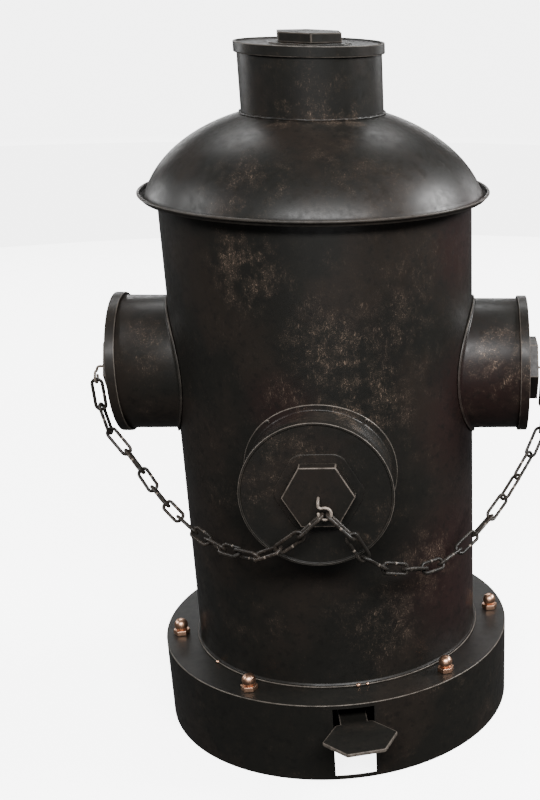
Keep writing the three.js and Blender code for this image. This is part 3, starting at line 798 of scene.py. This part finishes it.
def make_dome():
    """The lid's dome. Its foot flares out to a gutter, which turns up to the rolled wire edge."""
    low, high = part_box("lid_dome")
    centre = high.z - DOME_HALF_HEIGHT
    wire_centre = high.x - RIM_WIRE
    gutter = low.z + SHEET
    rim = gutter + GUTTER_DEPTH
    flare = DOME_FOOT + DOME_FLARE
    out = wire_centre - RIM_WIRE - 0.6 * MM
    outer = list(reversed(dome_arc(0.0, centre)))
    floor = line_of((flare - 0.3 * MM, gutter + 0.25 * MM), (flare + 0.1 * MM, gutter), (out, gutter))
    wire = arc(wire_centre, rim, RIM_WIRE, 190, -110, 18)
    under = line_of((out, low.z + 0.3 * MM), (out - 0.3 * MM, low.z), (flare - 0.8 * MM, low.z))
    section = outer + floor + wire + under + dome_arc(SHEET, centre)
    shape = turned(section, BODY_AROUND, ring=False)
    piece("dome", shape, "lid", BRONZE, stands_for=("lid_dome",), wear_and_highlight=0.3)


def cap_section(radius, tube, band):
    """Half section of a cup cap whose face is at height 0.
    Its band has a raised lip above and a hem below."""
    inside = radius - SHEET
    mouth = tube + 0.4 * MM
    under = [(0, -SHEET, 0), (inside, -SHEET, 0.6 * MM), (inside, SHEET - band, 0)]
    hem = [(mouth, SHEET - band, 0), (mouth, -band, 0.2 * MM), (radius, -band, EDGE)]
    lip = [(radius, BAND_LIP, 0.55 * MM), (radius - 1.7 * MM, BAND_LIP, 0.5 * MM)]
    face = [(radius - 2.5 * MM, 0, 0.5 * MM), (0, 0, 0)]
    return rounded(under + hem + lip + face, closed=False)


def make_cap(name, node, body, place, radius, tube, band, turn, shift=(0.0, 0.0)):
    """A cup cap with the pressed hexagon on its face, which may be shifted off its middle."""
    boss = pressed(hexagon(BOSS_CORNER, BOSS_ROUNDING, turn), -0.5 * MM, BOSS_HEIGHT, 0.8 * MM)
    boss = moved(boss, Matrix.Translation((*shift, 0)))
    cup = turned(cap_section(radius, tube, band), TUBE_AROUND, ring=False)
    piece(name, moved(merged(cup, boss), place), body, BRONZE, stands_for=(node,))


def hex_nut(turn, thickness):
    """A large hexagonal nut standing on height 0."""
    nut = prism(hexagon(NUT_FLATS / math.sqrt(3), 0, turn), 0, thickness)
    return bevelled(nut, 0.5 * MM, HOLD)


def make_neck():
    """The lid's neck: tube, the weld round its foot, cap and nut."""
    low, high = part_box("neck_tube")
    radius = high.x
    inside = radius - SHEET
    section = rounded([(inside, low.z, 0.3 * MM), (radius, low.z, 0.3 * MM), (radius, high.z, 0.4 * MM),
                       (inside, high.z, 0.4 * MM)])
    piece("neck", turned(section, TUBE_AROUND), "lid", BRONZE, stands_for=("neck_tube",))
    weld = bead(radius + 0.4 * MM, dome_height(radius) + 0.4 * MM, 1.3 * MM, 320)
    piece("neck_weld", weld, "lid", BRONZE, smooth=60)
    cap_low, cap_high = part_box("neck_cap")
    face = cap_high.z - BAND_LIP
    place = Matrix.Translation((0, 0, face))
    make_cap("neck_lid", "neck_cap", "lid", place, cap_high.x, radius, face - cap_low.z, 30)
    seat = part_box("neck_nut")[0].z
    nut = moved(hex_nut(30, NECK_NUT), Matrix.Translation((0, 0, seat)))
    piece("neck_hexagon", nut, "lid", FITTING, stands_for=("neck_nut",), wear_and_highlight=0.2)


def stud(radius, height):
    """A low rounded head standing on height 0."""
    root = -0.6 * MM
    section = line_of((0, root), (radius, root), (radius, 0))
    for step in range(1, 9):
        angle = math.pi / 2 * step / 8
        section.append(Vector((radius * math.cos(angle), height * math.sin(angle))))
    section[-1].x = 0.0
    return turned(section, 24, ring=False)


def bead(radius, height, size, around):
    """An uneven run of weld round the Z axis."""
    points = []
    sizes = []
    for step in range(around):
        angle = 2 * math.pi * step / around
        spot = Vector((*polar(radius, angle), height))
        wobble = noise.noise(spot * 260)
        ripple = noise.noise(spot * 900)
        points.append(spot + Vector((0, 0, 0.3 * MM * wobble)))
        sizes.append(size * (1 + 0.25 * wobble + 0.18 * ripple))
    return swept(points, sizes, sides=10, loop=True)


# ---- Nozzles ----


def nozzle_place(node):
    """A nozzle's own frame, and its outward direction.
    The frame's +Z points out of the body, its +Y up, and its origin is on the body's axis."""
    centre = middle(node)
    outward = Vector((centre.x, centre.y, 0)).normalized()
    side = Vector((0, 0, 1)).cross(outward)
    place = Matrix((side, Vector((0, 0, 1)), outward)).transposed().to_4x4()
    place.translation = Vector((0, 0, centre.z))
    return place, outward


def nozzle_section(angle, body_radius, collar_radius, tube_radius, tube_end):
    """Section of a collar and its tube at an angle round the nozzle's axis.
    The collar's foot follows the body's round wall."""
    inside = tube_radius - SHEET
    soft = 0.35 * MM

    def root(radius, lift=0.0):
        return math.sqrt((body_radius + AIR + lift) ** 2 - (radius * math.cos(angle)) ** 2)

    points = [(inside, root(inside)), (collar_radius - soft, root(collar_radius - soft))]
    points += [(collar_radius, root(collar_radius, lift)) for lift in (soft, SHEET - soft)]
    for radius in (collar_radius - soft, collar_radius - 2 * soft):
        points.append((radius, root(radius, SHEET)))
    for step in range(5):
        bend = math.pi / 2 * step / 4
        radius = tube_radius + COLLAR_FILLET * (1 - math.sin(bend))
        points.append((radius, root(radius, SHEET + COLLAR_FILLET * (1 - math.cos(bend)))))
    points += [(tube_radius, tube_end - 0.5 * MM), (tube_radius - 0.4 * MM, tube_end)]
    return points + [(inside, tube_end)]


def collar_rivets(body_radius, collar_radius):
    """Two rivets on a collar, to the left and right of its top, in the nozzle's own frame."""
    rivets = []
    reach = collar_radius - RIVET_INSET
    for degrees in (90 + RIVET_TURN, 90 - RIVET_TURN):
        angle = math.radians(degrees)
        across = reach * math.cos(angle)
        out = math.sqrt((body_radius + AIR) ** 2 - across ** 2) + SHEET
        place = Matrix.Translation((across, reach * math.sin(angle), out))
        rivets.append(moved(stud(RIVET, RIVET_HEIGHT), place))
    return merged(*rivets)


def make_nozzle(side, body_radius, tube_radius):
    """One nozzle: tube and collar, cap, nut, and the wire hook that hangs from the nut."""
    cap_node = "nozzle_cap_" + side
    nut_node = "nozzle_nut_" + side
    tube_node = "nozzle_tube_" + side
    place, outward = nozzle_place(cap_node)
    cap_near, cap_far = along(cap_node, outward)
    face = cap_far - BAND_LIP
    cap_low, cap_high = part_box(cap_node)
    cap_radius = (cap_high.z - cap_low.z) / 2
    tube_low, tube_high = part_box(tube_node)
    collar_radius = (tube_high.z - tube_low.z) / 2
    tube_end = along(tube_node, outward)[1]

    def section(angle):
        return nozzle_section(angle, body_radius, collar_radius, tube_radius, tube_end)

    tube = moved(turned(section, TUBE_AROUND), place)
    # The front collar's edge is painted lighter than the side collars': wear, and a painted highlight
    # where the front light catches it.
    wear_and_highlight = 1.0 if side == "front" else 0.4
    piece("nozzle_" + side, tube, "body", BRONZE, smooth=50, stands_for=(tube_node,), wear_and_highlight=wear_and_highlight)
    if side == "front":
        rivets = moved(collar_rivets(body_radius, collar_radius), place)
        piece("collar_rivets", rivets, "body", FITTING)
    nut_near, nut_far = along(nut_node, outward)
    local = place.inverted()
    corners = [local @ vertex.co for vertex in frame["nodes"][nut_node].data.vertices]
    foot = [corner for corner in corners if corner.z < nut_near + 0.1 * MM]
    shift = [(min(reaches) + max(reaches)) / 2 for reaches in list(zip(*foot))[:2]]
    outside = place @ Matrix.Translation((0, 0, face))
    band = face - cap_near
    make_cap("cap_" + side, cap_node, "body", outside, cap_radius, tube_radius, band, 0, shift)
    plane = nut_far - HOOK_CAD_WIRE
    ring = [corner for corner in corners if corner.z > plane - 0.1 * MM]
    drop = shift[1] - min(corner.y for corner in ring) - HOOK_LOOP - HOOK_CAD_WIRE
    seated = place @ Matrix.Translation((*shift, nut_near))
    nut = moved(hex_nut(0, NOZZLE_NUT), seated)
    piece("hexagon_" + side, nut, "body", FITTING, stands_for=(nut_node,), wear_and_highlight=0.45)
    hook = moved(wire_hook(plane - nut_near, drop), seated)
    piece("hook_" + side, hook, "body", HOOK)


def wire_hook(plane, drop):
    """A wire hook: out of the nut's middle, down, over to one side, and round in an open loop.
    The loop lies in a plane in front of the nut, and its middle is a drop below the nut's."""
    low = 0.2 * MM
    out = [Vector((0, 0, NOZZLE_NUT - 1.5 * MM)), Vector((0, -low, plane - HOOK_BEND))]
    for step in range(1, 8):
        angle = math.pi / 2 * step / 8
        fall = HOOK_BEND * (1 - math.cos(angle))
        out.append(Vector((0, -low - fall, plane - HOOK_BEND * (1 - math.sin(angle)))))
    loop = Vector((HOOK_ASIDE, -drop))
    first = math.radians(104)
    start = loop + polar(HOOK_LOOP, first)
    from_stem = Vector((0, -HOOK_BEND - 0.6 * MM))
    dip = Vector((0.4 * MM, start.y - 0.4 * MM))
    lead = start - Vector((math.sin(first), -math.cos(first))) * (1.6 * MM)
    flat = []
    for step in range(9):
        share = step / 8
        curve = (1 - share) ** 3 * from_stem + 3 * share * (1 - share) ** 2 * dip
        flat.append(curve + 3 * share ** 2 * (1 - share) * lead + share ** 3 * start)
    for step in range(1, 41):
        angle = first - math.radians(285) * step / 40
        flat.append(loop + polar(HOOK_LOOP, angle))
    return swept(out + [Vector((*point, plane)) for point in flat], HOOK_WIRE, sides=12)


# ---- Chains ----


def make_link(node, body):
    """A CAD link drawn again, in its own length, width and lie, as a smooth oval of wire.
    The groove on one of its straight sides is where the wire's ends meet."""
    corners = np.array([vertex.co for vertex in frame["nodes"][node].data.vertices])
    axes = np.linalg.eigh(np.cov((corners - corners.mean(0)).T))[1]
    reach = (corners - corners.mean(0)) @ axes
    centre = corners.mean(0) + axes @ ((reach.max(0) + reach.min(0)) / 2)
    sizes = reach.max(0) - reach.min(0)
    bend = sizes[1] / 2 - LINK_CAD_WIRE
    straight = sizes[2] / 2 - LINK_CAD_WIRE - bend
    long_way = Vector(axes[:, 2])
    wide_way = Vector(axes[:, 1])
    points = []
    radii = []
    for end in (1, -1):
        for step in range(13):
            angle = math.radians(180 * step / 12 - 90 * end)
            x = end * straight + bend * math.cos(angle)
            points.append(Vector(centre) + long_way * x + wide_way * (bend * math.sin(angle)))
            radii.append(LINK_WIRE)
        for share in (0.44, 0.5, 0.56):
            x = end * straight * (1 - 2 * share)
            points.append(Vector(centre) + long_way * x + wide_way * (bend * end))
            groove = end > 0 and share == 0.5
            radii.append(LINK_WIRE * (0.8 if groove else 1.0))
    shape = swept(points, radii, sides=14, loop=True)
    piece(node.replace("chain_link", "link"), shape, body, CHAIN, smooth=60, stands_for=(node,))


# ---- Bucket ----


def make_bucket():
    """The inner bucket: a cone with a flat foot and a rolled lip."""
    low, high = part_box("inner_bucket")
    mouth = high.x - BUCKET_LIP
    foot = mouth - BUCKET_TAPER
    roll = BUCKET_LIP / 2
    section = line_of((0, low.z))
    section += rounded([(0, low.z, 0), (foot, low.z, 3 * MM), (mouth, high.z - BUCKET_LIP, 0)],
                       closed=False)[1:-1]
    section += arc(high.x - roll, high.z - roll, roll, -130, 120, 10)
    section += rounded([(mouth, high.z, 0), (mouth - BUCKET_WALL, high.z - 0.5 * MM, 0.4 * MM),
                        (foot - BUCKET_WALL, low.z + BUCKET_WALL, 2.5 * MM),
                        (0, low.z + BUCKET_WALL, 0)], closed=False)[1:]
    shape = turned(section, BUCKET_AROUND, ring=False)
    piece("bucket", shape, "bucket", ZINC, stands_for=("inner_bucket",))


def make_bail():
    """The bucket's wire handle: half a circle, whose ends turn in through the bucket's wall."""
    low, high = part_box("bucket_bail")
    wire = (high.z - low.z) / 2
    radius = high.x - wire
    height = (low.z + high.z) / 2
    corner = 0.9 * MM
    end = [(radius - BAIL_TURN_IN, 0), (radius - 3 * MM, 0), (radius - corner, -corner)]
    points = [Vector((-x, y, height)) for x, y in end]
    for step in range(1, 60):
        angle = math.pi * step / 60
        points.append(Vector((*polar(-radius, angle), height)))
    points += [Vector((x, y, height)) for x, y in reversed(end)]
    piece("bail", swept(points, wire * 0.97, sides=12), "bail", STEEL, stands_for=("bucket_bail",))


# ---- Everything in its place ----

make_skirt()
make_base_plate()
for index in range(1, 5):
    make_ball_nut("ball_nut_" + str(index))
body_radius = make_body()
make_dome()
make_neck()
tube_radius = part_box("neck_tube")[1].x
for side in ("front", "left", "right"):
    make_nozzle(side, body_radius, tube_radius)
for body in ("chain_left", "chain_right"):
    links = [name for name in frame["nodes"] if frame["nodes"][name].parent == frame["bodies"][body]]
    for name in sorted(links):
        make_link(name, body)
# The pedal's bracket takes the dark bronze rather than steel, as painted shade: it sits in the dark
# inside the base.
recut("pedal_bracket", "body", BRONZE, 0.4 * MM)
recut("pedal_axle", "body", STEEL, 0.3 * MM)
recut("hinge_bracket", "body", BRONZE, 0.4 * MM)
recut("hinge_pin", "body", STEEL, 0.3 * MM)
recut("rod_guide", "body", BRONZE, 0.4 * MM)
recut("lid_arm", "lid", BRONZE, 0.4 * MM)
recut("pedal_lever", "pedal", FITTING, 0.5 * MM, HOLD, wear_and_highlight=0.35)
recut("push_rod", "rod", STEEL, 0.3 * MM)
make_bucket()
make_bail()

# ---- Studio ----


def make_floor():
    """A pale round sheet that lies under the object and curves up far away on every side."""
    section = line_of((0, 0), (0.5, 0), (FLOOR_FLAT, 0))
    section += arc(FLOOR_FLAT, FLOOR_CURVE, FLOOR_CURVE, -90, 0, 16)
    section += line_of((FLOOR_FLAT + FLOOR_CURVE, FLOOR_TOP))
    shape = turned(section, 64, ring=False)
    data = bpy.data.meshes.new("floor")
    shape.to_mesh(data)
    shape.free()
    data.polygons.foreach_set("use_smooth", [True] * len(data.polygons))
    look = Finish("studio_sheet")
    pale = look.blend(look.grain(0.4, 2), *FLOOR_TONES)
    # Under the foot the floor is painted dark and its glow is cut: painted shade.
    lit = look.step(look.distance((0, 0, 0)), SHADE_INNER, SHADE_OUTER)
    pale = look.blend(lit, SHADE_TONE, pale)
    glow = look.calc("MULTIPLY", lit, FLOOR_GLOW)
    look.set(Base_Color=pale, Roughness=0.9, Emission_Color=(1.0, 1.0, 1.0), Emission_Strength=glow)
    data.materials.append(look.material)
    floor = bpy.data.objects.new("floor", data)
    floor.visible_diffuse = False
    floor.visible_glossy = False
    bpy.context.scene.collection.objects.link(floor)


def make_light(name, spot, width, height, power):
    """A rectangular softbox aimed at the middle of the object."""
    lamp = bpy.data.lights.new(name, "AREA")
    lamp.shape = "RECTANGLE"
    lamp.size = width
    lamp.size_y = height
    lamp.energy = power
    thing = bpy.data.objects.new(name, lamp)
    thing.location = spot
    thing.rotation_mode = "QUATERNION"
    aim = (CAD_BOX[0] + CAD_BOX[1]) / 2
    thing.rotation_quaternion = (aim - Vector(spot)).to_track_quat("-Z", "Y")
    thing.visible_camera = False
    bpy.context.scene.collection.objects.link(thing)


def make_world(strength):
    """An even white light from everywhere."""
    world = bpy.data.worlds.new("studio")
    world.use_nodes = True
    background = world.node_tree.nodes["Background"]
    background.inputs["Color"].default_value = (1, 1, 1, 1)
    background.inputs["Strength"].default_value = strength
    bpy.context.scene.world = world


def make_camera():
    """The camera of the main view, and an empty that marks its spot."""
    camera = bpy.data.cameras.new("camera")
    camera.lens = CAMERA_LENS
    camera.sensor_width = CAMERA_SENSOR
    thing = bpy.data.objects.new("camera", camera)
    right = Vector(CAMERA_RIGHT)
    up = Vector(CAMERA_UP)
    back = right.cross(up)
    thing.matrix_world = Matrix((right, up, back)).transposed().to_4x4()
    thing.location = CAMERA_PLACE
    bpy.context.scene.collection.objects.link(thing)
    bpy.context.scene.camera = thing
    spot = bpy.data.objects.new("camera_spot", None)
    spot.location = CAMERA_PLACE
    bpy.context.scene.collection.objects.link(spot)
    for name, shift in zip(("shift_x", "shift_y"), CAMERA_SHIFT):
        shift_at_spot(camera, name, shift, thing, spot)


def shift_at_spot(camera, name, shift, thing, spot):
    """The lens shift belongs to the main view.
    It is there while the camera stands on its spot, and zero elsewhere."""
    driver = camera.driver_add(name).driver
    away = driver.variables.new()
    away.name = "away"
    away.type = "LOC_DIFF"
    away.targets[0].id = thing
    away.targets[1].id = spot
    driver.expression = f"{shift} * max(0, 1 - 1000 * away)"


make_floor()
make_world(WORLD_GLOW)
for name, (spot, width, height, power) in LIGHTS.items():
    make_light(name, spot, width, height, power)
make_camera()
